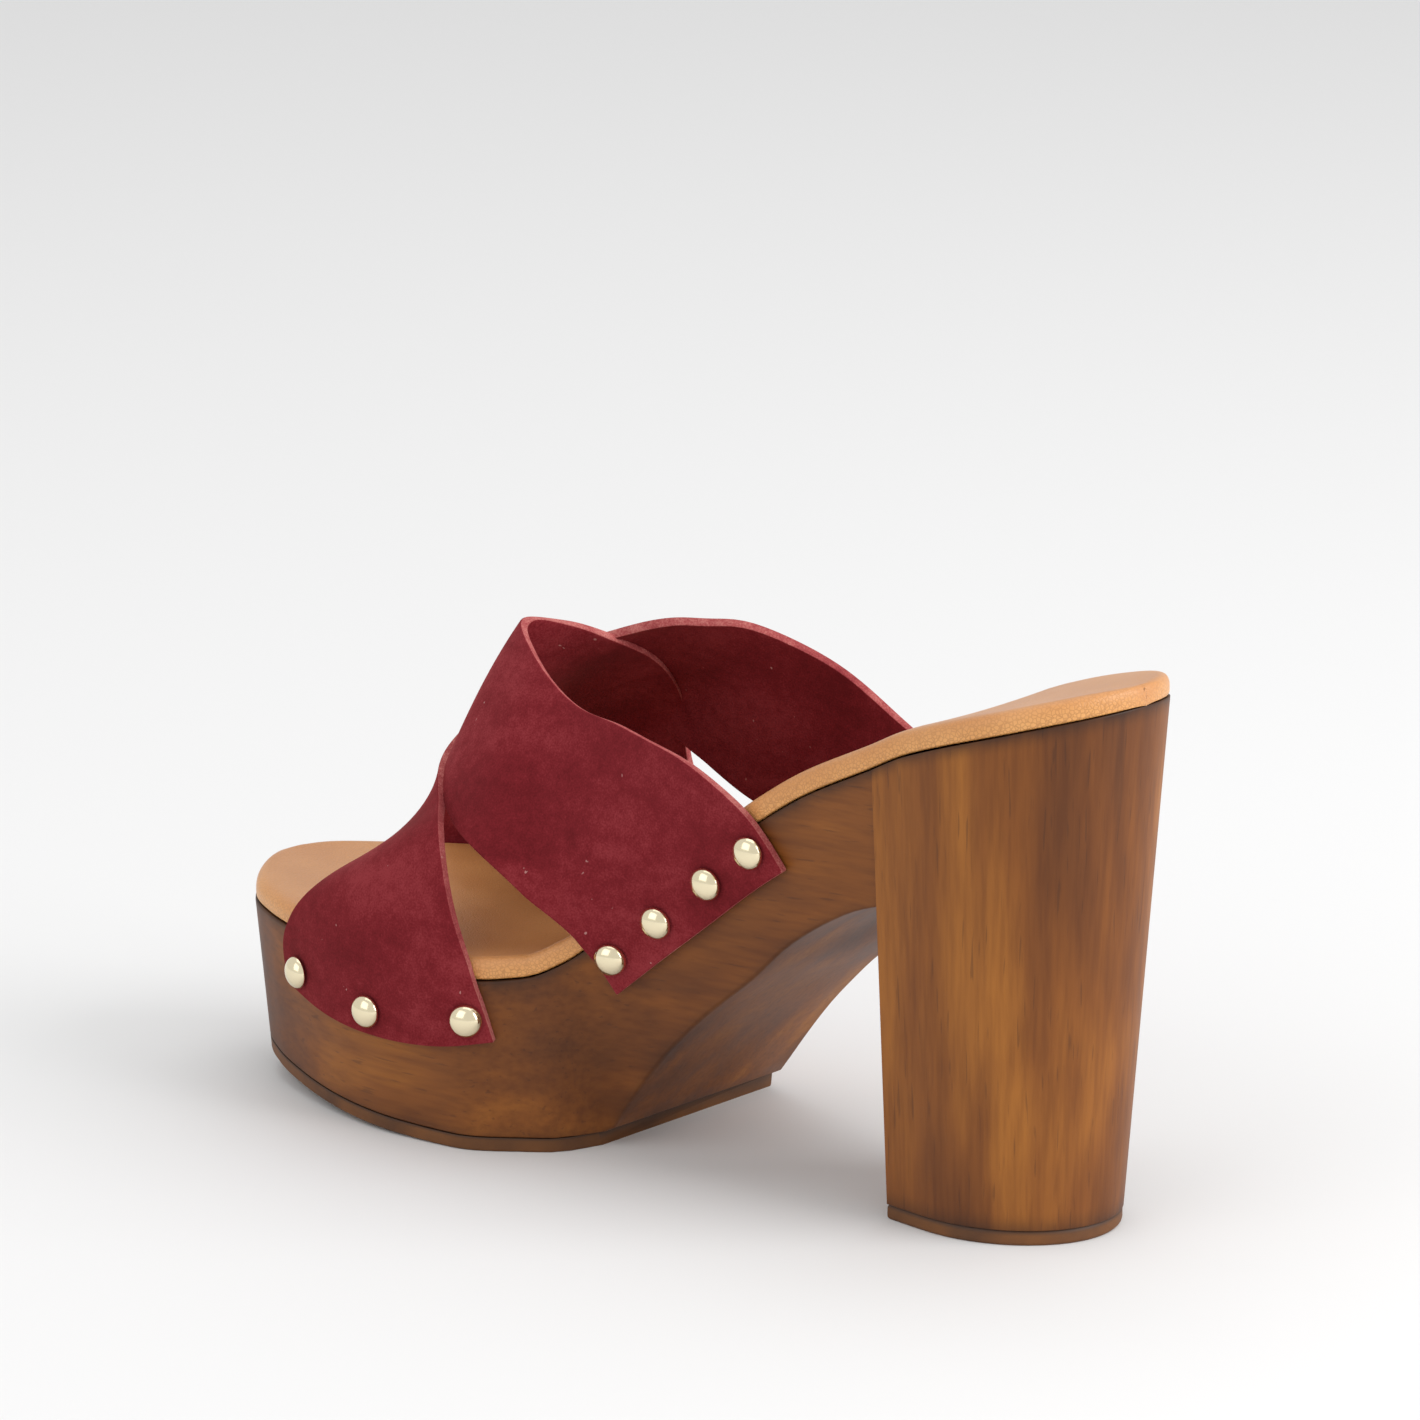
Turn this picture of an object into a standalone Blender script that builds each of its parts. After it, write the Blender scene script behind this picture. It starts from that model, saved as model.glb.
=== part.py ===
"""Heeled mule: a platform clog with a block heel and two crossed straps.

A right shoe, in metres, +Z up. Its toe points to -X, its inner (medial) side
faces -Y, and it stands on its outsole and its heel top piece. Along the shoe,
places are measured from the back of the heel towards the toe, and across it
from the heel's middle line towards the inner side.
"""
import math

import bpy
import bmesh
from mathutils import Matrix, Vector
from mathutils.bvhtree import BVHTree

# Driving sizes, in metres
LENGTH = 0.2225             # back of the seat to tip of the toe, level
BALL_WIDTH = 0.085          # widest part of the forefoot
SEAT_WIDTH = 0.0545         # heel seat, and the side of the waist
SEAT_HEIGHT = 0.1085        # top of the wood at the back of the seat
PLATFORM_HEIGHT = 0.0365    # top of the wood under the ball of the foot
TOE_SPRING = 0.007          # how far the tip of the toe lifts off the floor
TOE_DISH = 0.0025           # how far the top of the wood rises at the toe
TREAD_BACK = 0.120          # where the forefoot leaves the floor
BREAST = 0.0458             # flat front of the heel
ARCH_HEIGHT = 0.065         # underside of the waist where it meets the heel
HEEL_FOOT_BACK = 0.007      # back of the heel where it meets the floor
HEEL_FOOT_WIDTH = 0.044     # width of the heel at the floor
HEEL_FOOT_MIDDLE = 0.003    # middle of the heel at the floor
HEEL_FOOT_TAPER = 0.09      # how much narrower the heel's foot is at its breast
OUTSOLE_THICKNESS = 0.003
TOP_PIECE_THICKNESS = 0.003
INSOLE_THICKNESS = 0.0045
INSOLE_ROUND = 0.0011       # rounding of the wrapped edge of the insole
INSOLE_INSET = 0.0003       # edge of the insole inside the edge of the wood
STRAP_THICKNESS = 0.002
STRAP_SINK = 0.0006         # how far the two straps press into each other
INSTEP_RISE = 0.066         # top of the straps over the wood
STUD_DIAMETER = 0.0070
STUD_HEIGHT = 0.0021
REAR_STUD_EDGE = 0.0068     # middle of a rear stud to the end of its strap
FRONT_STUD_EDGE = 0.0054    # the same for a front stud
STUD_SIDES = 16
STUD_STEPS = 4
GAP = 0.0003                # between pieces that touch
TIP = 0.0002                # last section before a round end
EDGE_STEPS = (0.0, 0.0015, 0.004, 0.007)  # sections behind the edge of the tread

# Width of the footbed: places along are shares of the length, and the middle
# line and half width are shares of the ball width
PLAN = (
    # along, middle, half
    (0.00, 0.018, 0.329),
    (0.097, 0.015, 0.329),
    (0.211, 0.012, 0.335),
    (0.367, 0.004, 0.349),
    (0.460, 0.000, 0.374),
    (0.522, 0.009, 0.409),
    (0.574, 0.033, 0.449),
    (0.637, 0.069, 0.497),
    (0.709, 0.085, 0.500),
    (0.772, 0.101, 0.500),
    (0.855, 0.124, 0.500),
    (0.907, 0.149, 0.500),
    (0.948, 0.168, 0.500),
    (1.00, 0.155, 0.500),
)
TOE_ROUND_FROM = 0.703      # share of the length where the toe starts to close
TOE_POINT = (1.65, 0.57)    # powers of the toe's outline
SEAT_ROUND_TO = 0.15        # share of the length where the seat's back ends

# Top of the wood: the rise is a share of the seat's height over the platform
TOP_LINE = (
    # along, rise
    (0.00, 1.000),
    (0.066, 0.945),
    (0.169, 0.845),
    (0.211, 0.782),
    (0.284, 0.671),
    (0.336, 0.567),
    (0.387, 0.444),
    (0.450, 0.293),
    (0.502, 0.162),
    (0.543, 0.062),
    (0.574, 0.016),
    (0.616, 0.001),
    (0.689, 0.000),
    (1.00, 0.000),
)

# Underside of the waist, from the tread (0) to the breast of the heel (1):
# the rise is a share of the arch height
ARCH_LINE = (
    # back, rise
    (0.00, 0.000),
    (0.07, 0.110),
    (0.16, 0.243),
    (0.24, 0.350),
    (0.31, 0.431),
    (0.39, 0.517),
    (0.56, 0.676),
    (0.68, 0.804),
    (0.81, 0.906),
    (0.90, 0.960),
    (1.00, 1.000),
)

# How far the foot of the side wall lies inside its top edge, as a share of
# the ball width, on the inner side and on the outer side
WALL_LEAN = (
    # along, inner, outer
    (0.211, 0.047, 0.030),
    (0.325, 0.035, 0.024),
    (0.419, 0.047, 0.030),
    (0.471, 0.070, 0.040),
    (0.512, 0.106, 0.055),
    (0.539, 0.135, 0.070),
    (0.548, 0.070, 0.045),
    (0.564, 0.034, 0.026),
    (0.616, 0.014, 0.014),
    (0.855, 0.021, 0.021),
    (1.00, 0.035, 0.035),
)
TOE_LEAN = 0.003            # foot of the toe behind its top edge
LEAST_WIDTH = 0.02          # narrowest foot of the wall, as a share of its top edge
SPRING_FROM = 0.15          # share of the tread where the toe starts to lift

# The straps, a row for each section across a strap. Each row has the strap's
# rear edge and its front edge, as a share of the length, a share of the half
# width from the middle line, and a share of the instep's rise over the wood.
# The bow lifts the middle of the section.
# Leg from the sole up to the crossing, at the back of the inner side
INNER_REAR_LEG = (
    # rear: along, across, rise; front: along, across, rise; bow
    (0.303, 0.90, -0.20, 0.492, 0.92, -0.21, 0.00),
    (0.338, 1.04, 0.03, 0.517, 1.02, 0.01, 0.00),
    (0.398, 1.06, 0.31, 0.554, 1.04, 0.21, 0.01),
    (0.465, 0.93, 0.53, 0.611, 0.90, 0.37, 0.02),
)
# The same at the back of the outer side
OUTER_REAR_LEG = (
    (0.300, 0.90, -0.20, 0.487, 0.92, -0.20, 0.00),
    (0.338, 1.04, 0.03, 0.508, 1.02, 0.02, 0.00),
    (0.398, 1.06, 0.285, 0.540, 1.04, 0.23, 0.01),
    (0.455, 0.90, 0.57, 0.598, 0.90, 0.40, 0.02),
)
# Leg from the crossing down to the sole, at the front of the inner side
INNER_FRONT_LEG = (
    (0.665, 0.86, 0.43, 0.808, 0.92, 0.19, 0.00),
    (0.634, 0.99, 0.24, 0.839, 1.03, 0.08, 0.00),
    (0.608, 1.02, 0.00, 0.857, 1.02, -0.04, -0.02),
    (0.594, 0.96, -0.19, 0.852, 0.98, -0.165, -0.05),
)
# The same at the front of the outer side
OUTER_FRONT_LEG = (
    (0.665, 0.96, 0.45, 0.900, 0.88, 0.29, 0.00),
    (0.655, 1.04, 0.25, 0.917, 1.08, 0.12, 0.00),
    (0.635, 1.02, 0.00, 0.915, 1.08, -0.03, -0.02),
    (0.615, 0.96, -0.18, 0.905, 1.03, -0.165, -0.05),
)
# The strap that passes under, from the inner side to the outer side
UNDER = (
    (0.533, 0.74, 0.745, 0.668, 0.74, 0.447, 0.03),
    (0.622, 0.41, 0.93, 0.704, 0.60, 0.51, 0.03),
    (0.686, 0.13, 1.02, 0.726, 0.44, 0.565, 0.03),
    (0.664, -0.05, 1.005, 0.744, 0.22, 0.58, 0.03),
    (0.645, -0.25, 0.945, 0.765, 0.00, 0.59, 0.03),
    (0.637, -0.55, 0.84, 0.806, -0.30, 0.56, 0.03),
    (0.650, -0.83, 0.665, 0.872, -0.62, 0.43, 0.01),
)
# The strap that passes over, from the outer side to the inner side
OVER = (
    (0.507, -0.66, 0.81, 0.670, -0.87, 0.53, 0.05),
    (0.548, -0.50, 0.955, 0.709, -0.70, 0.58, 0.06),
    (0.604, -0.40, 1.015, 0.740, -0.52, 0.60, 0.06),
    (0.664, -0.27, 0.97, 0.772, -0.27, 0.60, 0.05),
    (0.714, -0.11, 0.885, 0.795, -0.04, 0.54, 0.02),
    (0.738, 0.04, 0.745, 0.786, 0.10, 0.43, 0.01),
    (0.718, 0.32, 0.58, 0.770, 0.37, 0.325, 0.00),
    (0.697, 0.64, 0.508, 0.772, 0.60, 0.30, 0.00),
)
STRAP_STEPS = 4             # rows worked out between two sections
STRAP_COLUMNS = 8           # spans across a strap
LAY_REACH = 0.020           # how far from the lower strap the upper one is drawn to it
LAY_PASSES = 150            # passes that spread the draw over the rest of the strap
LEG_EASE = 0.030            # height over which a leg leaves the side of the sole
LEG_TURN = 1.2              # share of the half width that it may turn in by there
WALL_SLOPE = 1.15           # level room for a strap that lies on the leaning wall

# Studs along the end of a strap, as shares from its rear edge to its front edge
REAR_STUDS = (0.09, 0.35, 0.66, 0.93)
FRONT_STUDS = (0.065, 0.49, 0.89)


def smooth(rows, column, at):
    """The value of one column of a table, read on a smooth curve without overshoot."""
    keys = [row[0] for row in rows]
    if at <= keys[0]:
        return rows[0][column]
    if at >= keys[-1]:
        return rows[-1][column]
    i = max(k for k in range(len(keys) - 1) if keys[k] <= at)

    def slope(k):
        return (rows[k + 1][column] - rows[k][column]) / (keys[k + 1] - keys[k])

    def tangent(k):
        if k == 0 or k == len(keys) - 1:
            return slope(min(k, len(keys) - 2))
        before, after = slope(k - 1), slope(k)
        return 0.0 if before * after <= 0 else 2 * before * after / (before + after)

    span = keys[i + 1] - keys[i]
    t = (at - keys[i]) / span
    a, b = rows[i][column], rows[i + 1][column]
    return (a * (1 + 2 * t) * (1 - t) ** 2 + b * t * t * (3 - 2 * t)
            + span * (tangent(i) * t * (1 - t) ** 2 - tangent(i + 1) * t * t * (1 - t)))


def middle(s):
    """Middle line of the footbed, towards the inner side."""
    return BALL_WIDTH * smooth(PLAN, 1, s / LENGTH)


def half_width(s):
    """Half the width of the footbed, closed at the toe and at the back of the seat."""
    share = min(max(s / LENGTH, 0.0), 1.0)
    half = BALL_WIDTH * smooth(PLAN, 2, share) + seat_extra(share)
    if share > TOE_ROUND_FROM:
        u = (share - TOE_ROUND_FROM) / (1 - TOE_ROUND_FROM)
        half *= max(1 - u ** TOE_POINT[0], 0.0) ** TOE_POINT[1]
    if share < SEAT_ROUND_TO:
        u = 1 - share / SEAT_ROUND_TO
        half *= math.sqrt(max(1 - u * u, 0.0))
    return half


def seat_extra(share):
    """What the seat's own width adds to the plan, fading out towards the ball."""
    own = SEAT_WIDTH / 2 - BALL_WIDTH * PLAN[0][2]
    return own * max(0.0, 1 - share / TOE_ROUND_FROM)


def top(s):
    """Height of the top of the wood."""
    share = min(max(s / LENGTH, 0.0), 1.0)
    toe = max(share - TOE_ROUND_FROM, 0.0) / (1 - TOE_ROUND_FROM)
    return (PLATFORM_HEIGHT + (SEAT_HEIGHT - PLATFORM_HEIGHT) * smooth(TOP_LINE, 1, share)
            + TOE_DISH * toe ** 2)


def steepness(s):
    """Length along the top of the wood for each unit of level length."""
    step = 0.001
    rise = (top(s + step) - top(s - step)) / (2 * step)
    return math.sqrt(1 + rise * rise)


def floor_line(s):
    """Height of the bottom of the outsole."""
    share = max(s - TREAD_BACK, 0.0) / (LENGTH - TREAD_BACK)
    return TOE_SPRING * (max(share - SPRING_FROM, 0.0) / (1 - SPRING_FROM)) ** 2


def arch(s):
    """Height of the underside of the waist."""
    back = (TREAD_BACK - s) / (TREAD_BACK - BREAST)
    return ARCH_HEIGHT * smooth(ARCH_LINE, 1, back)


def underside(s):
    """Height of the bottom of the wood."""
    return max(arch(s), floor_line(s) + OUTSOLE_THICKNESS + GAP)


def lean(s, side):
    """How far the foot of the wall lies inside its top edge."""
    return BALL_WIDTH * smooth(WALL_LEAN, 1 if side > 0 else 2, s / LENGTH)


def wall(s, z, side):
    """Side of the sole at a height, towards the inner (1) or the outer side (-1)."""
    low = min(arch(s), top(s)) if s < TREAD_BACK else floor_line(s)
    depth = min(max((top(s) - z) / max(top(s) - low, 0.001), 0.0), 1.0)
    width = max(half_width(s) - lean(s, side) * depth, half_width(s) * LEAST_WIDTH)
    return middle(s) + side * width


def point(s, n, z):
    """A place on the shoe as a Blender vector, before the shoe is centred."""
    return Vector((LENGTH / 2 - s, -n, z))


def toe_pull(s, z):
    """A place along the sole, drawn back where the toe's wall leans."""
    share = max(s / LENGTH - TOE_ROUND_FROM, 0.0) / (1 - TOE_ROUND_FROM)
    depth = min(max((top(s) - z) / (top(s) - floor_line(s)), 0.0), 1.0)
    return s - TOE_LEAN * share ** 3 * depth


def stations(start, end, count, tight_start=False, tight_end=False):
    """Places from start to end, closer together where an end is round."""
    places = []
    for i in range(count + 1):
        t = i / count
        if tight_start and tight_end:
            t = (1 - math.cos(math.pi * t)) / 2
        elif tight_end:
            t = math.sin(math.pi * t / 2)
        elif tight_start:
            t = 1 - math.cos(math.pi * t / 2)
        places.append(start + (end - start) * t)
    return places


def material(name, colour, roughness, metallic=0.0):
    made = bpy.data.materials.new(name)
    made.use_nodes = True
    shader = made.node_tree.nodes["Principled BSDF"]
    shader.inputs["Base Color"].default_value = (*colour, 1.0)
    shader.inputs["Roughness"].default_value = roughness
    shader.inputs["Metallic"].default_value = metallic
    made.diffuse_color = (*colour, 1.0)
    return made


def new_object(name, bm, finish):
    """An object from a bmesh, with its faces turned outwards."""
    bmesh.ops.recalc_face_normals(bm, faces=bm.faces)
    mesh = bpy.data.meshes.new(name)
    bm.to_mesh(mesh)
    bm.free()
    mesh.materials.append(finish)
    made = bpy.data.objects.new(name, mesh)
    bpy.context.collection.objects.link(made)
    return made


def loft(name, rings, finish):
    """A closed solid through rings that have the same number of points."""
    bm = bmesh.new()
    loops = [[bm.verts.new(place) for place in ring] for ring in rings]
    for before, after in zip(loops, loops[1:]):
        for i in range(len(before)):
            j = (i + 1) % len(before)
            bm.faces.new((before[i], before[j], after[j], after[i]))
    bm.faces.new(loops[0])
    bm.faces.new(reversed(loops[-1]))
    bmesh.ops.triangulate(bm, faces=bm.faces)
    return new_object(name, bm, finish)


def section(s, low, high, inset=0.0, rounding=0.0):
    """A ring across the sole between two heights."""
    across = 6
    rise = 4
    ring = []
    for i in range(rise + 1):
        z = low + (high - rounding - low) * i / rise
        ring.append((wall(s, z, 1) - inset, z))
    if rounding:
        ring.append((wall(s, high, 1) - inset - rounding * 0.4, high - rounding * 0.3))
    inner, outer = wall(s, high, 1) - inset - rounding, wall(s, high, -1) + inset + rounding
    ring += [(inner + (outer - inner) * i / across, high)
             for i in range(0 if rounding else 1, across + (1 if rounding else 0))]
    if rounding:
        ring.append((wall(s, high, -1) + inset + rounding * 0.4, high - rounding * 0.3))
    for i in range(rise + 1):
        z = high - rounding + (low - high + rounding) * i / rise
        ring.append((wall(s, z, -1) + inset, z))
    inner, outer = wall(s, low, 1) - inset, wall(s, low, -1) + inset
    ring += [(outer + (inner - outer) * i / across, low) for i in range(1, across)]
    return [point(toe_pull(s, z), n, z) for n, z in ring]


def make_platform(finish):
    """The wooden forefoot and waist, up to the breast of the heel."""
    meet = TREAD_BACK - GAP
    places = stations(BREAST + GAP / 2, meet - EDGE_STEPS[2], 16)
    places += [meet + step - EDGE_STEPS[1] / 2 for step in EDGE_STEPS]
    places += stations(meet + EDGE_STEPS[3] + EDGE_STEPS[2], LENGTH - TIP, 22, tight_end=True)
    return loft("sole", [section(s, underside(s), top(s)) for s in places], finish)


def make_outsole(finish):
    """The thin rubber sheet under the forefoot, its back edge cut along the arch."""
    places = [TREAD_BACK + step for step in EDGE_STEPS]
    places += stations(TREAD_BACK + EDGE_STEPS[3] + EDGE_STEPS[2], LENGTH - TIP, 20, tight_end=True)
    rings = [section(s, floor_line(s), floor_line(s) + OUTSOLE_THICKNESS) for s in places]
    return loft("outsole", rings, finish)


def heel_half(share):
    """Half width of the heel as a share, from its back (0) to its breast (1)."""
    round_to = SEAT_ROUND_TO * LENGTH / BREAST
    u = max(1 - share / round_to, 0.0)
    return math.sqrt(max(1 - u * u, 0.0))


def heel_ring(z_of, share_up, count=14):
    """The D-shaped outline of the heel at a share of its height."""
    back = HEEL_FOOT_BACK * (1 - share_up)
    front = BREAST - GAP / 2
    ring = []
    shares = stations(0.0, 1.0, count, tight_start=True)
    for side, order in ((1, reversed(shares)), (-1, shares[1:])):
        for share in order:
            s = back + (front - back) * share
            s_top = front * share
            narrow = 1 - HEEL_FOOT_TAPER * share ** 3
            foot = HEEL_FOOT_MIDDLE + side * HEEL_FOOT_WIDTH / 2 * heel_half(share) * narrow
            seat = middle(s_top) + side * half_width(s_top)
            ring.append(point(s, foot + (seat - foot) * share_up, z_of(s_top)))
    return ring


def heel_solid(name, low, high, finish, levels=4):
    """Part of the heel between two heights; the top may follow the seat."""
    rings = []
    for i in range(levels + 1):
        t = i / levels

        def height(s, t=t):
            return low(s) + (high(s) - low(s)) * t

        rings.append(heel_ring(height, (height(BREAST / 2)) / top(BREAST / 2)))
    bm = bmesh.new()
    loops = [[bm.verts.new(place) for place in ring] for ring in rings]
    for before, after in zip(loops, loops[1:]):
        for i in range(len(before)):
            j = (i + 1) % len(before)
            bm.faces.new((before[i], before[j], after[j], after[i]))
    for loop in (loops[0], loops[-1]):
        last = len(loop) - 1
        for i in range(last // 2):
            pair = (loop[i], loop[i + 1], loop[last - i - 1], loop[last - i])
            bm.faces.new([v for k, v in enumerate(pair) if v not in pair[:k]])
    bmesh.ops.triangulate(bm, faces=bm.faces)
    return new_object(name, bm, finish)


def make_insole(finish):
    """The padded sheet on the wood, with its wrapped edge rounded."""
    places = stations(TIP, 0.15 * LENGTH, 9, tight_start=True)
    places += stations(0.15 * LENGTH, 0.70 * LENGTH, 20)[1:]
    places += stations(0.70 * LENGTH, LENGTH - TIP, 16, tight_end=True)[1:]
    rings = []
    for s in places:
        low = top(s) + GAP * steepness(s)
        high = low + INSOLE_THICKNESS * steepness(s)
        rounding = min(INSOLE_ROUND, half_width(s) / 3)
        inset = min(INSOLE_INSET, half_width(s) / 4)
        rings.append(section(s, low, high, inset, rounding))
    return loft("insole", rings, finish)


def strap_rows(sections):
    """Smooth rows of (along, across, rise, ..., bow) through the sections of a strap."""
    rows = []
    for i in range(len(sections) - 1):
        a = sections[max(i - 1, 0)]
        b, c = sections[i], sections[i + 1]
        d = sections[min(i + 2, len(sections) - 1)]
        for step in range(STRAP_STEPS):
            t = step / STRAP_STEPS
            rows.append([
                0.5 * (2 * q + (r - p) * t + (2 * p - 5 * q + 4 * r - w) * t * t
                       + (3 * q - p - 3 * r + w) * t ** 3)
                for p, q, r, w in zip(a, b, c, d)])
    rows.append(list(sections[-1]))
    return rows


def strap_place(along, across, rise):
    """A place on a strap from its shares, kept outside the side of the sole."""
    s = along * LENGTH
    z = top(s) + rise * INSTEP_RISE
    n = middle(s) + across * half_width(s)
    side = 1 if across > 0 else -1
    over = max(z - top(s), 0.0) / LEG_EASE
    clear = (GAP + STRAP_THICKNESS / 2) * WALL_SLOPE
    turn = over * over * half_width(s) * LEG_TURN
    limit = side * wall(s, min(z, top(s)), side) + clear - turn
    return point(s, side * max(side * n, limit), z)


def strap_grid(sections):
    """Points over the middle surface of a strap that runs from the inner side to the outer."""
    grid = []
    for row in strap_rows(sections):
        line = []
        for j in range(STRAP_COLUMNS + 1):
            v = j / STRAP_COLUMNS
            shares = [row[k] + (row[k + 3] - row[k]) * v for k in range(3)]
            shares[2] += row[6] * 4 * v * (1 - v)
            line.append(strap_place(*shares))
        grid.append(line)
    return grid


def strap_tree(grid):
    """The middle surface of a strap, to be hit by rays."""
    count = len(grid[0])
    cells = [(i * count + j, i * count + j + 1, (i + 1) * count + j + 1, (i + 1) * count + j)
             for i in range(len(grid) - 1) for j in range(count - 1)]
    return BVHTree.FromPolygons([place for row in grid for place in row], cells)


def laid_on(grid, lower, leg_rows):
    """The upper strap's grid, drawn onto the lower strap where the two cross."""
    tree = strap_tree(lower[leg_rows:-leg_rows])
    rows, columns = len(grid), len(grid[0])
    drop = [[0.0] * columns for _ in range(rows)]
    free = []
    for i in range(leg_rows, rows - leg_rows):
        for j in range(columns):
            normal = grid_normal(grid, i, j)
            start = grid[i][j] + normal * LAY_REACH
            hit = tree.ray_cast(start, -normal, 2 * LAY_REACH)[0]
            if hit:
                drop[i][j] = (grid[i][j] - hit).dot(normal) - STRAP_THICKNESS + STRAP_SINK
            else:
                free.append((i, j))
    for _ in range(LAY_PASSES):
        for i, j in free:
            beside = [drop[i - 1][j], drop[i + 1][j]]
            beside += [drop[i][k] for k in (j - 1, j + 1) if 0 <= k < columns]
            drop[i][j] = sum(beside) / len(beside)
    return [[grid[i][j] - grid_normal(grid, i, j) * drop[i][j] for j in range(columns)]
            for i in range(rows)]


def mirrored(sections):
    """The same sections on the other side of the middle line."""
    return tuple((a, -b, c, d, -e, f, g) for a, b, c, d, e, f, g in sections)


def grid_normal(grid, i, j):
    """The way out of the shoe from a point of a strap's grid."""
    rows, columns = len(grid), len(grid[0])
    along = grid[min(i + 1, rows - 1)][j] - grid[max(i - 1, 0)][j]
    across = grid[i][min(j + 1, columns - 1)] - grid[i][max(j - 1, 0)]
    return along.cross(across).normalized()


def sheet_solid(name, grid, thickness, finish):
    """A closed solid of even thickness around a grid of points."""
    bm = bmesh.new()
    rows, columns = len(grid), len(grid[0])
    faces = []
    for side in (0.5, -0.5):
        faces.append([[bm.verts.new(grid[i][j] + grid_normal(grid, i, j) * side * thickness)
                       for j in range(columns)] for i in range(rows)])
    up, down = faces
    for i in range(rows - 1):
        for j in range(columns - 1):
            bm.faces.new((up[i][j], up[i + 1][j], up[i + 1][j + 1], up[i][j + 1]))
            bm.faces.new((down[i][j], down[i][j + 1], down[i + 1][j + 1], down[i + 1][j]))
    rim = ([(i, 0) for i in range(rows)] + [(rows - 1, j) for j in range(1, columns)]
           + [(i, columns - 1) for i in range(rows - 2, -1, -1)]
           + [(0, j) for j in range(columns - 2, 0, -1)])
    for (i, j), (k, m) in zip(rim, rim[1:] + rim[:1]):
        bm.faces.new((up[i][j], down[i][j], down[k][m], up[k][m]))
    bmesh.ops.triangulate(bm, faces=bm.faces)
    return new_object(name, bm, finish)


def make_upper(finish):
    """Both straps, joined where they cross."""
    under = INNER_REAR_LEG + UNDER + mirrored(OUTER_FRONT_LEG)
    over = (mirrored(OUTER_REAR_LEG) + OVER + INNER_FRONT_LEG)[::-1]
    under_grid = strap_grid(under)
    over_grid = laid_on(strap_grid(over), under_grid, len(INNER_REAR_LEG) * STRAP_STEPS)
    upper = sheet_solid("upper", under_grid, STRAP_THICKNESS, finish)
    crossing = sheet_solid("crossing_strap", over_grid, STRAP_THICKNESS, finish)
    join = upper.modifiers.new("join", "BOOLEAN")
    join.operation = "UNION"
    join.solver = "EXACT"
    join.object = crossing
    crossing.hide_render = True
    crossing.display_type = "WIRE"
    return upper, under_grid, over_grid


def stud_seat(grid, share, from_edge):
    """The middle of a stud on a strap that ends at the grid's first row, and its way out."""
    at = share * STRAP_COLUMNS
    j = min(int(at), STRAP_COLUMNS - 1)
    line = [row[j].lerp(row[j + 1], at - j) for row in grid]
    left = from_edge
    i = 0
    while (line[i + 1] - line[i]).length < left:
        left -= (line[i + 1] - line[i]).length
        i += 1
    up = (line[i + 1] - line[i]).normalized()
    along = (grid[i][j + 1] - grid[i][j]).normalized()
    out = along.cross(up).normalized()
    centre = line[i] + up * left
    return centre, out if out.y * centre.y > 0 else -out


def make_stud(name, grid, share, from_edge, finish):
    """A domed stud on the outside of a strap's end, its foot following the strap."""
    centre, out = stud_seat(grid, share, from_edge)
    strap = strap_tree(grid)
    radius = STUD_DIAMETER / 2
    lift = STRAP_THICKNESS / 2 + GAP
    turn = out.to_track_quat("Z", "Y")

    def foot(level):
        """The strap's outer face below or above a level place beside the stud's middle."""
        hit = strap.ray_cast(level + out * radius, -out, STUD_DIAMETER)[0]
        return (hit if hit else level) + out * lift

    bm = bmesh.new()
    rings = []
    for k in range(STUD_STEPS):
        angle = math.pi / 2 * k / STUD_STEPS
        r, h = radius * math.cos(angle), STUD_HEIGHT * math.sin(angle)
        ring = []
        for m in range(STUD_SIDES):
            a = 2 * math.pi * m / STUD_SIDES
            level = centre + turn @ Vector((r * math.cos(a), r * math.sin(a), 0.0))
            ring.append(bm.verts.new(foot(level) + out * h))
        rings.append(ring)
    crown = bm.verts.new(foot(centre) + out * STUD_HEIGHT)
    base = bm.verts.new(foot(centre))
    for low, high in zip(rings, rings[1:]):
        for m in range(STUD_SIDES):
            n = (m + 1) % STUD_SIDES
            bm.faces.new((low[m], low[n], high[n], high[m]))
    for m in range(STUD_SIDES):
        n = (m + 1) % STUD_SIDES
        bm.faces.new((rings[-1][m], rings[-1][n], crown))
        bm.faces.new((rings[0][n], rings[0][m], base))
    bmesh.ops.triangulate(bm, faces=bm.faces)
    return new_object(name, bm, finish)


def make_studs(under_grid, over_grid, finish):
    """Four studs on each rear end and three on each front end of the straps."""
    ends = (("inner_rear", under_grid, REAR_STUDS, REAR_STUD_EDGE),
            ("outer_front", under_grid[::-1], FRONT_STUDS, FRONT_STUD_EDGE),
            ("outer_rear", over_grid[::-1], REAR_STUDS, REAR_STUD_EDGE),
            ("inner_front", over_grid, FRONT_STUDS, FRONT_STUD_EDGE))
    for place, grid, shares, from_edge in ends:
        for number, share in enumerate(shares, 1):
            make_stud(f"stud_{place}_{number}", grid, share, from_edge, finish)


def centre_on_origin():
    """Move all pieces so that the origin is under the middle of the shoe's box."""
    bpy.context.view_layer.update()
    places = [v.co for o in bpy.data.objects if o.type == "MESH" for v in o.data.vertices]
    low = Vector([min(p[k] for p in places) for k in range(3)])
    high = Vector([max(p[k] for p in places) for k in range(3)])
    shift = Vector((-(low.x + high.x) / 2, -(low.y + high.y) / 2, -low.z))
    for made in bpy.data.objects:
        if made.type == "MESH":
            made.data.transform(Matrix.Translation(shift))


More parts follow.
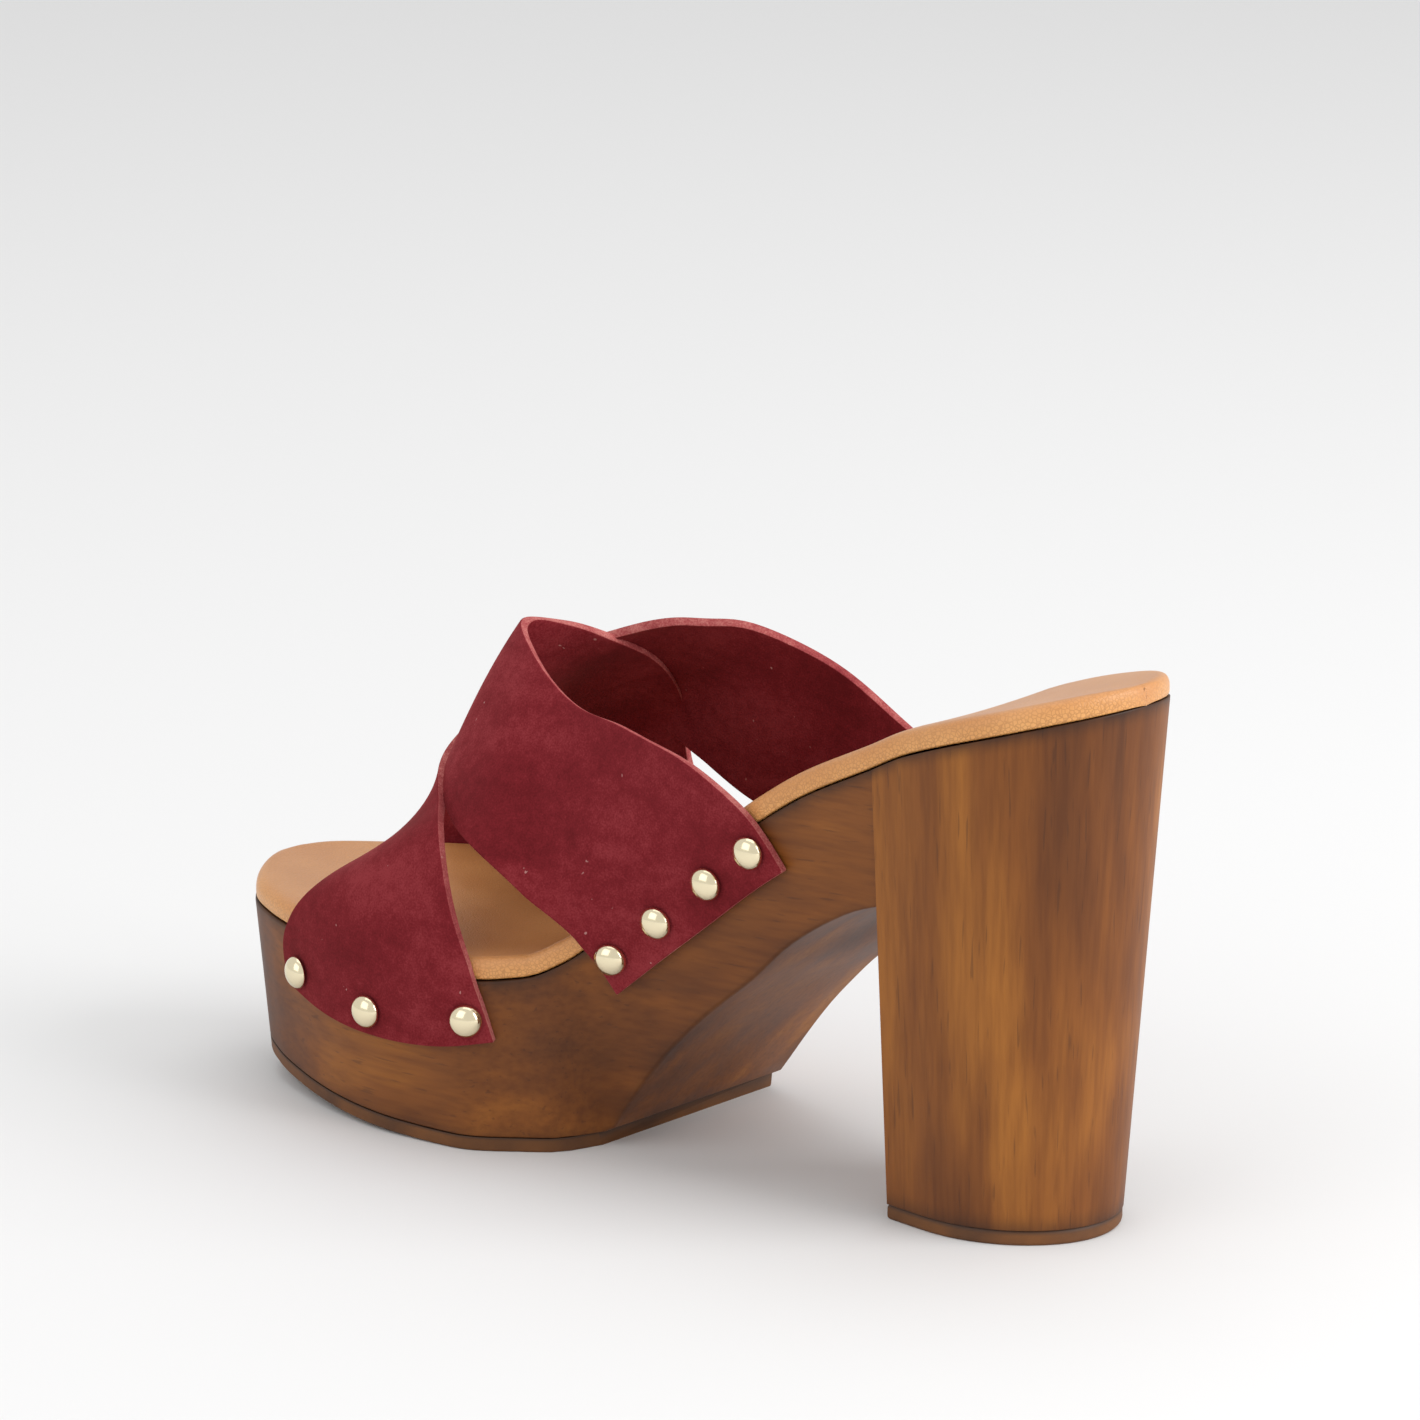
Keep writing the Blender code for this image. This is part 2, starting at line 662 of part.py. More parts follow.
def main():
    for old in list(bpy.data.objects):
        bpy.data.objects.remove(old, do_unlink=True)
    wood = material("stained wood", (0.25, 0.09, 0.022), 0.45)
    rubber = material("outsole rubber", (0.10, 0.045, 0.02), 0.7)
    leather = material("insole leather", (0.55, 0.27, 0.09), 0.5)
    suede = material("burgundy suede", (0.19, 0.02, 0.027), 0.95)
    brass = material("pale brass", (0.80, 0.68, 0.42), 0.25, 1.0)
    make_platform(wood)
    heel_solid("heel", lambda s: TOP_PIECE_THICKNESS + GAP, top, wood)
    make_outsole(rubber)
    heel_solid("heel_top_piece", lambda s: 0.0, lambda s: TOP_PIECE_THICKNESS, rubber, levels=1)
    make_insole(leather)
    upper, under_grid, over_grid = make_upper(suede)
    make_studs(under_grid, over_grid, brass)
    centre_on_origin()


main()
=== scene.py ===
"""Looks of a heeled mule: a stained wooden platform clog with crossed suede straps.

The shoe's toe points to -X and its inner side faces -Y. Places along the shoe
are measured from the back of the heel, and places across it from the heel's
middle line towards the inner side, in metres.
"""
import math

import bpy
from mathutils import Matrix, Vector
from mathutils.bvhtree import BVHTree


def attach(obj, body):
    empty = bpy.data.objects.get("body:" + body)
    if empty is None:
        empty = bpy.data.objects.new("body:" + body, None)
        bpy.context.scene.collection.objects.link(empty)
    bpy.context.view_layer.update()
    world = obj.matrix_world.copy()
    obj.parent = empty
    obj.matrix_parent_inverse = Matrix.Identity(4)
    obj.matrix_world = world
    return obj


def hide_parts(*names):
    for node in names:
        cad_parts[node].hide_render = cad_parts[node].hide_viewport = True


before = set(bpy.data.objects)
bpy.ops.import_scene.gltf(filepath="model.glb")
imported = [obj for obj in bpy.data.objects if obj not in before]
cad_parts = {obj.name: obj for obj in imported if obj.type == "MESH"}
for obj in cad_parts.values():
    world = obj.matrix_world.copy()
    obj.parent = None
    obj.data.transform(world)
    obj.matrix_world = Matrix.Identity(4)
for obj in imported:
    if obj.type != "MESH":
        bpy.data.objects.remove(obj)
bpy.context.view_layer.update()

# The shoe's sizes, as in the CAD model
LENGTH = 0.2225
BALL_WIDTH = 0.085
SEAT_WIDTH = 0.0545
SEAT_HEIGHT = 0.1085        # top of the wood at the back
PLATFORM_HEIGHT = 0.0365    # top of the wood at the ball
TOE_SPRING = 0.007          # the toe's lift off the floor
TOE_DISH = 0.0025           # rise of the footbed towards the toe
TREAD_BACK = 0.120          # where the forefoot leaves the floor
BREAST = 0.0458             # front of the heel
ARCH_HEIGHT = 0.065         # underside of the waist at the breast
HEEL_FOOT_BACK = 0.007
HEEL_FOOT_WIDTH = 0.044
HEEL_FOOT_MIDDLE = 0.003
HEEL_FOOT_TAPER = 0.09
SOLE_SHEET = 0.003          # rubber under the forefoot and under the heel
INSOLE_THICKNESS = 0.0045
STRAP_THICKNESS = 0.002
STRAP_SINK = 0.0006         # how far the upper strap sinks into the nap of the lower one
INSTEP_RISE = 0.066         # height of the straps' crest over the footbed
STUD_DIAMETER = 0.0070
STUD_HEIGHT = 0.0024
REAR_STUD_EDGE = 0.0068     # from the strap's end to the middle of a stud
FRONT_STUD_EDGE = 0.0054
GAP = 0.0003

# Sizes that only the looks have
HAIRLINE = 0.0001           # seen between the waist and the heel, and over the rubber
INSOLE_ROUND = 0.0030       # the leather's turn over the padded edge
INSOLE_HOLLOW = 0.0005      # how far the foot has pressed the insole in
HOLLOW_SHARE = 0.75         # how much of the insole's width it takes
STUD_DENT = 0.0003          # how far a stud presses the suede in
STUD_DENT_REACH = 0.0055
STUD_RIM = 0.00022          # the stud's edge, turned in
CUT_ROUND = 0.0004          # softness of the suede's cut edge
MERGE = 0.00002             # points closer than this are one
CENTRE = Vector((-0.0001, 0.0067, 0.0))  # the CAD model's middle is on the origin

# Footbed, as shares of the length and of the ball width
PLAN = (
    # along, middle, half
    (0.00, 0.018, 0.329), (0.097, 0.015, 0.329), (0.211, 0.012, 0.335), (0.367, 0.004, 0.349),
    (0.460, 0.000, 0.374), (0.522, 0.009, 0.409), (0.574, 0.033, 0.449), (0.637, 0.069, 0.497),
    (0.709, 0.085, 0.500), (0.772, 0.101, 0.500), (0.855, 0.124, 0.500), (0.907, 0.149, 0.500),
    (0.948, 0.168, 0.500), (1.00, 0.155, 0.500),
)
TOE_ROUND_FROM = 0.703
TOE_POINT = (1.65, 0.57)
SEAT_ROUND_TO = 0.15
TOP_LINE = (
    # along, rise
    (0.00, 1.000), (0.066, 0.945), (0.169, 0.845), (0.211, 0.782), (0.284, 0.671),
    (0.336, 0.567), (0.387, 0.444), (0.450, 0.293), (0.502, 0.162), (0.543, 0.062),
    (0.574, 0.016), (0.616, 0.001), (0.689, 0.000), (1.00, 0.000),
)
ARCH_LINE = (
    # back, rise
    (0.00, 0.000), (0.07, 0.110), (0.16, 0.243), (0.24, 0.350), (0.31, 0.431), (0.39, 0.517),
    (0.56, 0.676), (0.68, 0.804), (0.81, 0.906), (0.90, 0.960), (1.00, 1.000),
)
WALL_LEAN = (
    # along, inner, outer
    (0.211, 0.047, 0.030), (0.325, 0.035, 0.024), (0.419, 0.047, 0.030), (0.471, 0.070, 0.040),
    (0.512, 0.106, 0.055), (0.539, 0.135, 0.070), (0.548, 0.070, 0.045), (0.564, 0.034, 0.026),
    (0.616, 0.014, 0.014), (0.855, 0.021, 0.021), (1.00, 0.035, 0.035),
)
TOE_LEAN = 0.003
LEAST_WIDTH = 0.02
SPRING_FROM = 0.15

# Sections of the straps, as in the CAD model: rear edge, front edge and bow.
# Leg from the sole up to the crossing, at the back of the inner side
INNER_REAR_LEG = (
    # rear: along, across, rise; front: along, across, rise; bow
    (0.303, 0.90, -0.20, 0.492, 0.92, -0.21, 0.00),
    (0.338, 1.04, 0.03, 0.517, 1.02, 0.01, 0.00),
    (0.398, 1.06, 0.31, 0.554, 1.04, 0.21, 0.01),
    (0.465, 0.93, 0.53, 0.611, 0.90, 0.37, 0.02),
)
# The same at the back of the outer side
OUTER_REAR_LEG = (
    (0.300, 0.90, -0.20, 0.487, 0.92, -0.20, 0.00),
    (0.338, 1.04, 0.03, 0.508, 1.02, 0.02, 0.00),
    (0.398, 1.06, 0.285, 0.540, 1.04, 0.23, 0.01),
    (0.455, 0.90, 0.57, 0.598, 0.90, 0.40, 0.02),
)
# Leg from the crossing down to the sole, at the front of the inner side
INNER_FRONT_LEG = (
    (0.665, 0.86, 0.43, 0.808, 0.92, 0.19, 0.00),
    (0.634, 0.99, 0.24, 0.839, 1.03, 0.08, 0.00),
    (0.608, 1.02, 0.00, 0.857, 1.02, -0.04, -0.02),
    (0.594, 0.96, -0.19, 0.852, 0.98, -0.165, -0.05),
)
# The same at the front of the outer side
OUTER_FRONT_LEG = (
    (0.665, 0.96, 0.45, 0.900, 0.88, 0.29, 0.00),
    (0.655, 1.04, 0.25, 0.917, 1.08, 0.12, 0.00),
    (0.635, 1.02, 0.00, 0.915, 1.08, -0.03, -0.02),
    (0.615, 0.96, -0.18, 0.905, 1.03, -0.165, -0.05),
)
# The strap that passes under, from the inner side to the outer side
UNDER = (
    (0.533, 0.74, 0.745, 0.668, 0.74, 0.447, 0.03),
    (0.622, 0.41, 0.93, 0.704, 0.60, 0.51, 0.03),
    (0.686, 0.13, 1.02, 0.726, 0.44, 0.565, 0.03),
    (0.664, -0.05, 1.005, 0.744, 0.22, 0.58, 0.03),
    (0.645, -0.25, 0.945, 0.765, 0.00, 0.59, 0.03),
    (0.637, -0.55, 0.84, 0.806, -0.30, 0.56, 0.03),
    (0.650, -0.83, 0.665, 0.872, -0.62, 0.43, 0.01),
)
# The strap that passes over, from the outer side to the inner side
OVER = (
    (0.507, -0.66, 0.81, 0.670, -0.87, 0.53, 0.05),
    (0.548, -0.50, 0.955, 0.709, -0.70, 0.58, 0.06),
    (0.604, -0.40, 1.015, 0.740, -0.52, 0.60, 0.06),
    (0.664, -0.27, 0.97, 0.772, -0.27, 0.60, 0.05),
    (0.714, -0.11, 0.885, 0.795, -0.04, 0.54, 0.02),
    (0.738, 0.04, 0.745, 0.786, 0.10, 0.43, 0.01),
    (0.718, 0.32, 0.58, 0.770, 0.37, 0.325, 0.00),
    (0.697, 0.64, 0.508, 0.772, 0.60, 0.30, 0.00),
)
STRAP_STEPS = 4             # rows from one section to the next
STRAP_COLUMNS = 8
LAY_REACH = 0.020           # how far the upper strap looks for the lower one
LAY_PASSES = 150            # rounds that ease the upper strap beside the crossing
LEG_EASE = 0.030            # height in which a leg comes away from the side of the sole
LEG_TURN = 1.2
WALL_SLOPE = 1.15           # a strap's thickness, measured across the leaning wall
REAR_STUDS = (0.09, 0.35, 0.66, 0.93)    # shares of the strap's width
FRONT_STUDS = (0.065, 0.49, 0.89)

# Creases pressed into the straps by wear: (along, across, height) at both ends
# in the shoe's own metres, then the depth (less than 0 is a ridge) and the reach
LOWER_CREASES = (
    ((0.118, 0.036, 0.060), (0.140, 0.030, 0.088), 0.0005, 0.0070),
    ((0.098, 0.034, 0.062), (0.128, 0.033, 0.078), -0.0004, 0.0060),
    ((0.138, 0.031, 0.066), (0.150, 0.014, 0.088), 0.0006, 0.0060),
    ((0.145, -0.022, 0.090), (0.172, -0.014, 0.078), 0.0005, 0.0070),
)
UPPER_CREASES = (
    ((0.150, 0.040, 0.046), (0.172, 0.030, 0.052), 0.0005, 0.0060),
    ((0.160, 0.043, 0.042), (0.180, 0.039, 0.045), -0.0004, 0.0060),
    ((0.118, -0.026, 0.084), (0.142, -0.030, 0.072), 0.0006, 0.0070),
)


# The shoe's form

def smooth(rows, column, at):
    """One column of a table, read on a smooth curve without overshoot."""
    keys = [row[0] for row in rows]
    if at <= keys[0]:
        return rows[0][column]
    if at >= keys[-1]:
        return rows[-1][column]
    i = max(k for k in range(len(keys) - 1) if keys[k] <= at)

    def slope(k):
        return (rows[k + 1][column] - rows[k][column]) / (keys[k + 1] - keys[k])

    def tangent(k):
        if k == 0 or k == len(keys) - 1:
            return slope(min(k, len(keys) - 2))
        before, after = slope(k - 1), slope(k)
        return 0.0 if before * after <= 0 else 2 * before * after / (before + after)

    span = keys[i + 1] - keys[i]
    t = (at - keys[i]) / span
    a, b = rows[i][column], rows[i + 1][column]
    return (a * (1 + 2 * t) * (1 - t) ** 2 + b * t * t * (3 - 2 * t)
            + span * (tangent(i) * t * (1 - t) ** 2 - tangent(i + 1) * t * t * (1 - t)))


def middle(s):
    """The footbed's middle line: how far it lies towards the inner side."""
    return BALL_WIDTH * smooth(PLAN, 1, s / LENGTH)


def half_width(s):
    """Half the width of the footbed, closed at the toe and at the back."""
    share = min(max(s / LENGTH, 0.0), 1.0)
    own = SEAT_WIDTH / 2 - BALL_WIDTH * PLAN[0][2]
    half = BALL_WIDTH * smooth(PLAN, 2, share) + own * max(0.0, 1 - share / TOE_ROUND_FROM)
    if share > TOE_ROUND_FROM:
        u = (share - TOE_ROUND_FROM) / (1 - TOE_ROUND_FROM)
        half *= max(1 - u ** TOE_POINT[0], 0.0) ** TOE_POINT[1]
    if share < SEAT_ROUND_TO:
        u = 1 - share / SEAT_ROUND_TO
        half *= math.sqrt(max(1 - u * u, 0.0))
    return half


def top(s):
    """Height of the top of the wood."""
    share = min(max(s / LENGTH, 0.0), 1.0)
    toe = max(share - TOE_ROUND_FROM, 0.0) / (1 - TOE_ROUND_FROM)
    return (PLATFORM_HEIGHT + (SEAT_HEIGHT - PLATFORM_HEIGHT) * smooth(TOP_LINE, 1, share)
            + TOE_DISH * toe ** 2)


def steepness(s):
    """Length of the footbed's slope for each metre along the shoe."""
    rise = (top(s + 0.001) - top(s - 0.001)) / 0.002
    return math.sqrt(1 + rise * rise)


def floor_line(s):
    """Underside of the forefoot, lifted off the floor towards the toe."""
    share = max(s - TREAD_BACK, 0.0) / (LENGTH - TREAD_BACK)
    return TOE_SPRING * (max(share - SPRING_FROM, 0.0) / (1 - SPRING_FROM)) ** 2


def arch(s):
    """Underside of the waist, from the tread's back up to the heel."""
    return ARCH_HEIGHT * smooth(ARCH_LINE, 1, (TREAD_BACK - s) / (TREAD_BACK - BREAST))


def wall(s, z, side):
    """Side of the sole at a height, towards the inner (1) or the outer side (-1)."""
    low = min(arch(s), top(s)) if s < TREAD_BACK else floor_line(s)
    depth = min(max((top(s) - z) / max(top(s) - low, 0.001), 0.0), 1.0)
    lean = BALL_WIDTH * smooth(WALL_LEAN, 1 if side > 0 else 2, s / LENGTH)
    return middle(s) + side * max(half_width(s) - lean * depth, half_width(s) * LEAST_WIDTH)


def point(s, n, z):
    """A place along, across and over the shoe as a point of the scene."""
    return Vector((LENGTH / 2 - s, -n, z)) + CENTRE


def toe_pull(s, z):
    """A place along the shoe, drawn back lower down because the toe leans."""
    share = max(s / LENGTH - TOE_ROUND_FROM, 0.0) / (1 - TOE_ROUND_FROM)
    depth = min(max((top(s) - z) / (top(s) - floor_line(s)), 0.0), 1.0)
    return s - TOE_LEAN * share ** 3 * depth


# Making a piece

def wake(made):
    """Selects one object alone, ready for an operator."""
    bpy.ops.object.select_all(action="DESELECT")
    made.select_set(True)
    bpy.context.view_layer.objects.active = made
    return made


def named(name, *finishes):
    """The object that an operator has just made, named and given its materials."""
    made = bpy.context.active_object
    made.name = made.data.name = name
    for finish in finishes:
        made.data.materials.append(finish)
    return made


def apply(made, kind, **settings):
    """A modifier with its settings, applied at once."""
    wake(made)
    modifier = made.modifiers.new(kind.lower(), kind)
    for key, value in settings.items():
        setattr(modifier, key, value)
    bpy.ops.object.modifier_apply(modifier=modifier.name)


def skin(name, across, along, place, finish):
    """A closed form: a flat grid rolled round by place(u, v), with its two ends filled.

    place gives a point and the number kept in the "edge" attribute."""
    bpy.ops.object.select_all(action="DESELECT")
    bpy.ops.mesh.primitive_grid_add(x_subdivisions=across, y_subdivisions=along, size=2)
    made = named(name, finish)
    marks = made.data.attributes.new("edge", "FLOAT", "POINT")
    for vertex in made.data.vertices:
        u, v = (vertex.co.x + 1) / 2, (vertex.co.y + 1) / 2
        vertex.co, marks.data[vertex.index].value = place(u, v)
    wake(made)
    bpy.ops.object.mode_set(mode="EDIT")
    bpy.ops.mesh.select_all(action="SELECT")
    bpy.ops.mesh.remove_doubles(threshold=MERGE)
    bpy.ops.mesh.fill_holes(sides=0)
    bpy.ops.mesh.select_all(action="SELECT")
    bpy.ops.mesh.normals_make_consistent(inside=False)
    bpy.ops.object.mode_set(mode="OBJECT")
    bpy.ops.object.shade_smooth_by_angle(angle=math.radians(50))
    return made


def ring_place(corners, u):
    """A place on a ring of rounded corners: corners are (across, height, reach across, reach up)."""
    count = len(corners)
    parts = []
    for i, (x, y, wide, tall) in enumerate(corners):
        before, after = corners[i - 1], corners[(i + 1) % count]
        a = Vector((before[0] - x, before[1] - y)).normalized()
        b = Vector((after[0] - x, after[1] - y)).normalized()
        parts.append((Vector((x, y)), Vector((a.x * wide, a.y * tall)),
                      Vector((b.x * wide, b.y * tall))))
    t = u * count
    i = int(t) % count
    t -= int(t)
    here, a, b = parts[i]
    following, c, _ = parts[(i + 1) % count]
    if t < 0.5:
        k = t / 0.5
        return (here + a) * (1 - k) ** 2 + here * 2 * k * (1 - k) + (here + b) * k * k
    k = (t - 0.5) / 0.5
    return (here + b).lerp(following + c, k)


def cut_across(s, high, low, above, below, inset=0.0):
    """The corners of a cut across the sole, each rounded by (across, up) above and below."""
    return tuple((wall(s, z, side) - side * inset, z, *rounding)
                 for z, side, rounding in ((high, 1, above), (high, -1, above),
                                           (low, -1, below), (low, 1, below)))


def spaced(v, start, end, round_start=False, round_end=False):
    """A place from start to end, closer together where an end is round."""
    if round_start and round_end:
        v = (1 - math.cos(math.pi * v)) / 2
    elif round_end:
        v = math.sin(math.pi * v / 2)
    elif round_start:
        v = 1 - math.cos(math.pi * v / 2)
    return start + (end - start) * v


def near(distance, reach):
    """1 at an edge, fading to 0 at the reach."""
    return max(0.0, 1 - abs(distance) / reach)


def wooden_forefoot(finish):
    """The carved platform and waist, with its corners sanded round."""
    edge_top, edge_foot, edge_waist = 0.0007, 0.0006, 0.0006
    from_tread, from_heel = 0.012, 0.010
    dark_top, dark_foot, foot_share = 0.004, 0.003, 0.6

    def place(u, v):
        s = spaced(v, BREAST + HAIRLINE / 2, LENGTH, round_end=True)
        high = top(s)
        low = max(arch(s), floor_line(s) + SOLE_SHEET + HAIRLINE)
        half = half_width(s)
        r = min(edge_top, half / 3)
        waist = (min(max((TREAD_BACK - s) / from_tread, 0.0), 1.0)
                 * min(1.0, (s - BREAST) / from_heel))
        r_foot = min(edge_foot + edge_waist * waist, half / 3, (high - low) / 3)
        n, z = ring_place(cut_across(s, high, low, (r, r), (r_foot, r_foot)), u)
        side = 1 if n > middle(s) else -1
        beside = abs(wall(s, low, side) - n)
        mark = max(near(high - z, dark_top),
                   foot_share * near(math.hypot(z - low, beside), dark_foot))
        return point(toe_pull(s, z), n, z), mark

    return skin("wooden_forefoot", 96, 110, place, finish)


def heel_outline(share):
    """Half width of the heel as a share, from its back (0) to its breast (1)."""
    u = max(1 - share / (SEAT_ROUND_TO * LENGTH / BREAST), 0.0)
    return math.sqrt(max(1 - u * u, 0.0))


def heel_place(u, height, low):
    """A place on the heel's wall at a share of its height."""
    turn = u * 2
    side = 1 if turn <= 1 else -1
    share = turn if turn <= 1 else 2 - turn
    share = 1 - math.cos(math.pi * share / 2)
    front = BREAST - HAIRLINE / 2
    s_top = front * share
    z = low + (top(s_top) - low) * height
    up = z / top(s_top)
    s = HEEL_FOOT_BACK * (1 - up) + (front - HEEL_FOOT_BACK * (1 - up)) * share
    narrow = 1 - HEEL_FOOT_TAPER * share ** 3
    foot = HEEL_FOOT_MIDDLE + side * HEEL_FOOT_WIDTH / 2 * heel_outline(share) * narrow
    seat = middle(s_top) + side * half_width(s_top)
    return s, foot + (seat - foot) * up, z


def into_heel(s, n):
    """The way from a place on the heel's wall to its middle."""
    return (Vector((BREAST * 0.6, HEEL_FOOT_MIDDLE)) - Vector((s, n))).normalized()


def wooden_heel(finish):
    """The block heel, shaped from one piece with an upright grain, its rims sanded."""
    rim, rim_share = 0.0006, 0.02
    dark_top, dark_foot, foot_share = 0.035, 0.04, 0.8

    def place(u, v):
        height = spaced(v, 0.0, 1.0, round_start=True, round_end=True)
        s, n, z = heel_place(u, height, SOLE_SHEET + HAIRLINE)
        pull = rim * (near(v, rim_share) ** 2 + near(1 - v, rim_share) ** 2)
        inward = into_heel(s, n) * pull
        mark = max(near(1 - height, dark_top), foot_share * near(height, dark_foot))
        return point(min(s + inward.x, BREAST - HAIRLINE / 2), n + inward.y, z), mark

    return skin("wooden_heel", 120, 80, place, finish)


def tread_sheet(finish):
    """The stained rubber sheet under the forefoot, worn round at its lower edge."""
    worn, glue_line = 0.0006, 0.0006

    def place(u, v):
        s = spaced(v, TREAD_BACK, LENGTH, round_end=True)
        low, high = floor_line(s), floor_line(s) + SOLE_SHEET
        r = min(worn, half_width(s) / 3)
        n, z = ring_place(cut_across(s, high, low, (r / 2, r / 2), (r, r)), u)
        return point(toe_pull(s, z), n, z), near(high - z, glue_line)

    return skin("tread_sheet", 64, 70, place, finish)


def heel_tread(finish):
    """The stained rubber top piece that the heel stands on."""
    rim, rim_share = 0.0005, 0.25

    def place(u, v):
        s, n, _ = heel_place(u, 0.0, 0.0)
        pull = rim * (near(v, rim_share) ** 2 + 0.6 * near(1 - v, rim_share) ** 2)
        inward = into_heel(s, n) * pull
        return point(s + inward.x, n + inward.y, SOLE_SHEET * v), near(1 - v, 0.3)

    return skin("heel_tread", 120, 12, place, finish)


def padded_insole(finish):
    """The padded insole: leather wrapped round a thin foam board, hollowed by the foot.

    Its edge turns over by INSOLE_ROUND, measured square to the outline, so that
    the turn runs on unbroken round the toe and round the seat."""
    step = 0.00005
    edge_inset, edge_foot = 0.0003, 0.0008

    def place(u, v):
        s = spaced(v, 0.0, LENGTH, round_start=True, round_end=True)
        slope = steepness(s)
        low = top(s) + GAP * slope
        half = half_width(s)
        slant = math.hypot(1, (half_width(s + step) - half_width(s - step)) / (2 * step))
        sunk = max(1 - half / slant / INSOLE_ROUND, 0.0)
        soft = INSOLE_ROUND * math.sqrt(1 - sunk * sunk)
        high = low + INSOLE_THICKNESS * slope - INSOLE_ROUND + soft
        wide = min(INSOLE_ROUND * slant, half)
        crisp = min(edge_foot, half / 3)
        n, z = ring_place(cut_across(s, high, low, (wide, soft), (crisp, crisp),
                                     inset=min(edge_inset, half / 4)), u)
        across = (n - middle(s)) / max(half, 0.001)
        face = near(high - z, INSOLE_THICKNESS * slope)
        dip = INSOLE_HOLLOW * max(0.0, 1 - (across / HOLLOW_SHARE) ** 2) * face
        return point(s, n, z - dip), 1 - face

    made = skin("padded_insole", 112, 150, place, finish)
    return made


def strap_rows(sections):
    """Rows of shares on a smooth curve through the sections."""
    rows = []
    for i in range(len(sections) - 1):
        a = sections[max(i - 1, 0)]
        b, c = sections[i], sections[i + 1]
        d = sections[min(i + 2, len(sections) - 1)]
        for step in range(STRAP_STEPS):
            t = step / STRAP_STEPS
            rows.append([
                0.5 * (2 * q + (r - p) * t + (2 * p - 5 * q + 4 * r - w) * t * t
                       + (3 * q - p - 3 * r + w) * t ** 3)
                for p, q, r, w in zip(a, b, c, d)])
    rows.append(list(sections[-1]))
    return rows


def strap_place(along, across, rise):
    """A place on a strap from its shares, kept outside the side of the sole."""
    s = along * LENGTH
    z = top(s) + rise * INSTEP_RISE
    side = 1 if across > 0 else -1
    over = max(z - top(s), 0.0) / LEG_EASE
    clear = (GAP + STRAP_THICKNESS / 2) * WALL_SLOPE
    limit = side * wall(s, min(z, top(s)), side) + clear - over * over * half_width(s) * LEG_TURN
    return point(s, side * max(side * (middle(s) + across * half_width(s)), limit), z)


def strap_grid(sections):
    """The strap's middle surface: rows from end to end, columns from edge to edge."""
    grid = []
    for row in strap_rows(sections):
        line = []
        for j in range(STRAP_COLUMNS + 1):
            v = j / STRAP_COLUMNS
            shares = [row[k] + (row[k + 3] - row[k]) * v for k in range(3)]
            shares[2] += row[6] * 4 * v * (1 - v)
            line.append(strap_place(*shares))
        grid.append(line)
    return grid


def mirrored(sections):
    """Sections for the other side of the shoe."""
    return tuple((a, -b, c, d, -e, f, g) for a, b, c, d, e, f, g in sections)


def grid_normal(grid, i, j):
    """The way out of a grid at one of its places."""
    rows, columns = len(grid), len(grid[0])
    along = grid[min(i + 1, rows - 1)][j] - grid[max(i - 1, 0)][j]
    across = grid[i][min(j + 1, columns - 1)] - grid[i][max(j - 1, 0)]
    return along.cross(across).normalized()


def strap_tree(grid):
    """The grid as a surface that a ray can meet."""
    count = len(grid[0])
    cells = [(i * count + j, i * count + j + 1, (i + 1) * count + j + 1, (i + 1) * count + j)
             for i in range(len(grid) - 1) for j in range(count - 1)]
    return BVHTree.FromPolygons([place for row in grid for place in row], cells)


def laid_on(grid, lower, leg_rows):
    """The upper strap's grid, drawn onto the lower strap where the two cross."""
    tree = strap_tree(lower[leg_rows:-leg_rows])
    rows, columns = len(grid), len(grid[0])
    drop = [[0.0] * columns for _ in range(rows)]
    free = []
    for i in range(leg_rows, rows - leg_rows):
        for j in range(columns):
            normal = grid_normal(grid, i, j)
            start = grid[i][j] + normal * LAY_REACH
            hit = tree.ray_cast(start, -normal, 2 * LAY_REACH)[0]
            if hit:
                drop[i][j] = (grid[i][j] - hit).dot(normal) - STRAP_THICKNESS + STRAP_SINK
            else:
                free.append((i, j))
    for _ in range(LAY_PASSES):
        for i, j in free:
            beside = [drop[i - 1][j], drop[i + 1][j]]
            beside += [drop[i][k] for k in (j - 1, j + 1) if 0 <= k < columns]
            drop[i][j] = sum(beside) / len(beside)
    return [[grid[i][j] - grid_normal(grid, i, j) * drop[i][j] for j in range(columns)]
            for i in range(rows)]


def stud_seat(grid, share, from_edge):
    """The middle of a stud near the grid's first row, and its way out."""
    at = share * STRAP_COLUMNS
    j = min(int(at), STRAP_COLUMNS - 1)
    line = [row[j].lerp(row[j + 1], at - j) for row in grid]
    left = from_edge
    i = 0
    while (line[i + 1] - line[i]).length < left:
        left -= (line[i + 1] - line[i]).length
        i += 1
    up = (line[i + 1] - line[i]).normalized()
    along = (grid[i][j + 1] - grid[i][j]).normalized()
    out = along.cross(up).normalized()
    centre = line[i] + up * left
    return centre, out if out.y * centre.y > 0 else -out


def pressed(place, normal, studs, creases):
    """A place on a strap, pushed in at its studs and along its creases."""
    push = 0.0
    for centre in studs:
        push += STUD_DENT * math.exp(-((place - centre).length / STUD_DENT_REACH) ** 2)
    for start, end, depth, reach in creases:
        a, b = point(*start), point(*end)
        share = min(max((place - a).dot(b - a) / (b - a).length_squared, 0.0), 1.0)
        fade = 1 - (2 * share - 1) ** 4
        push += depth * fade * math.exp(-((place - a.lerp(b, share)).length / reach) ** 2)
    return place - normal * push


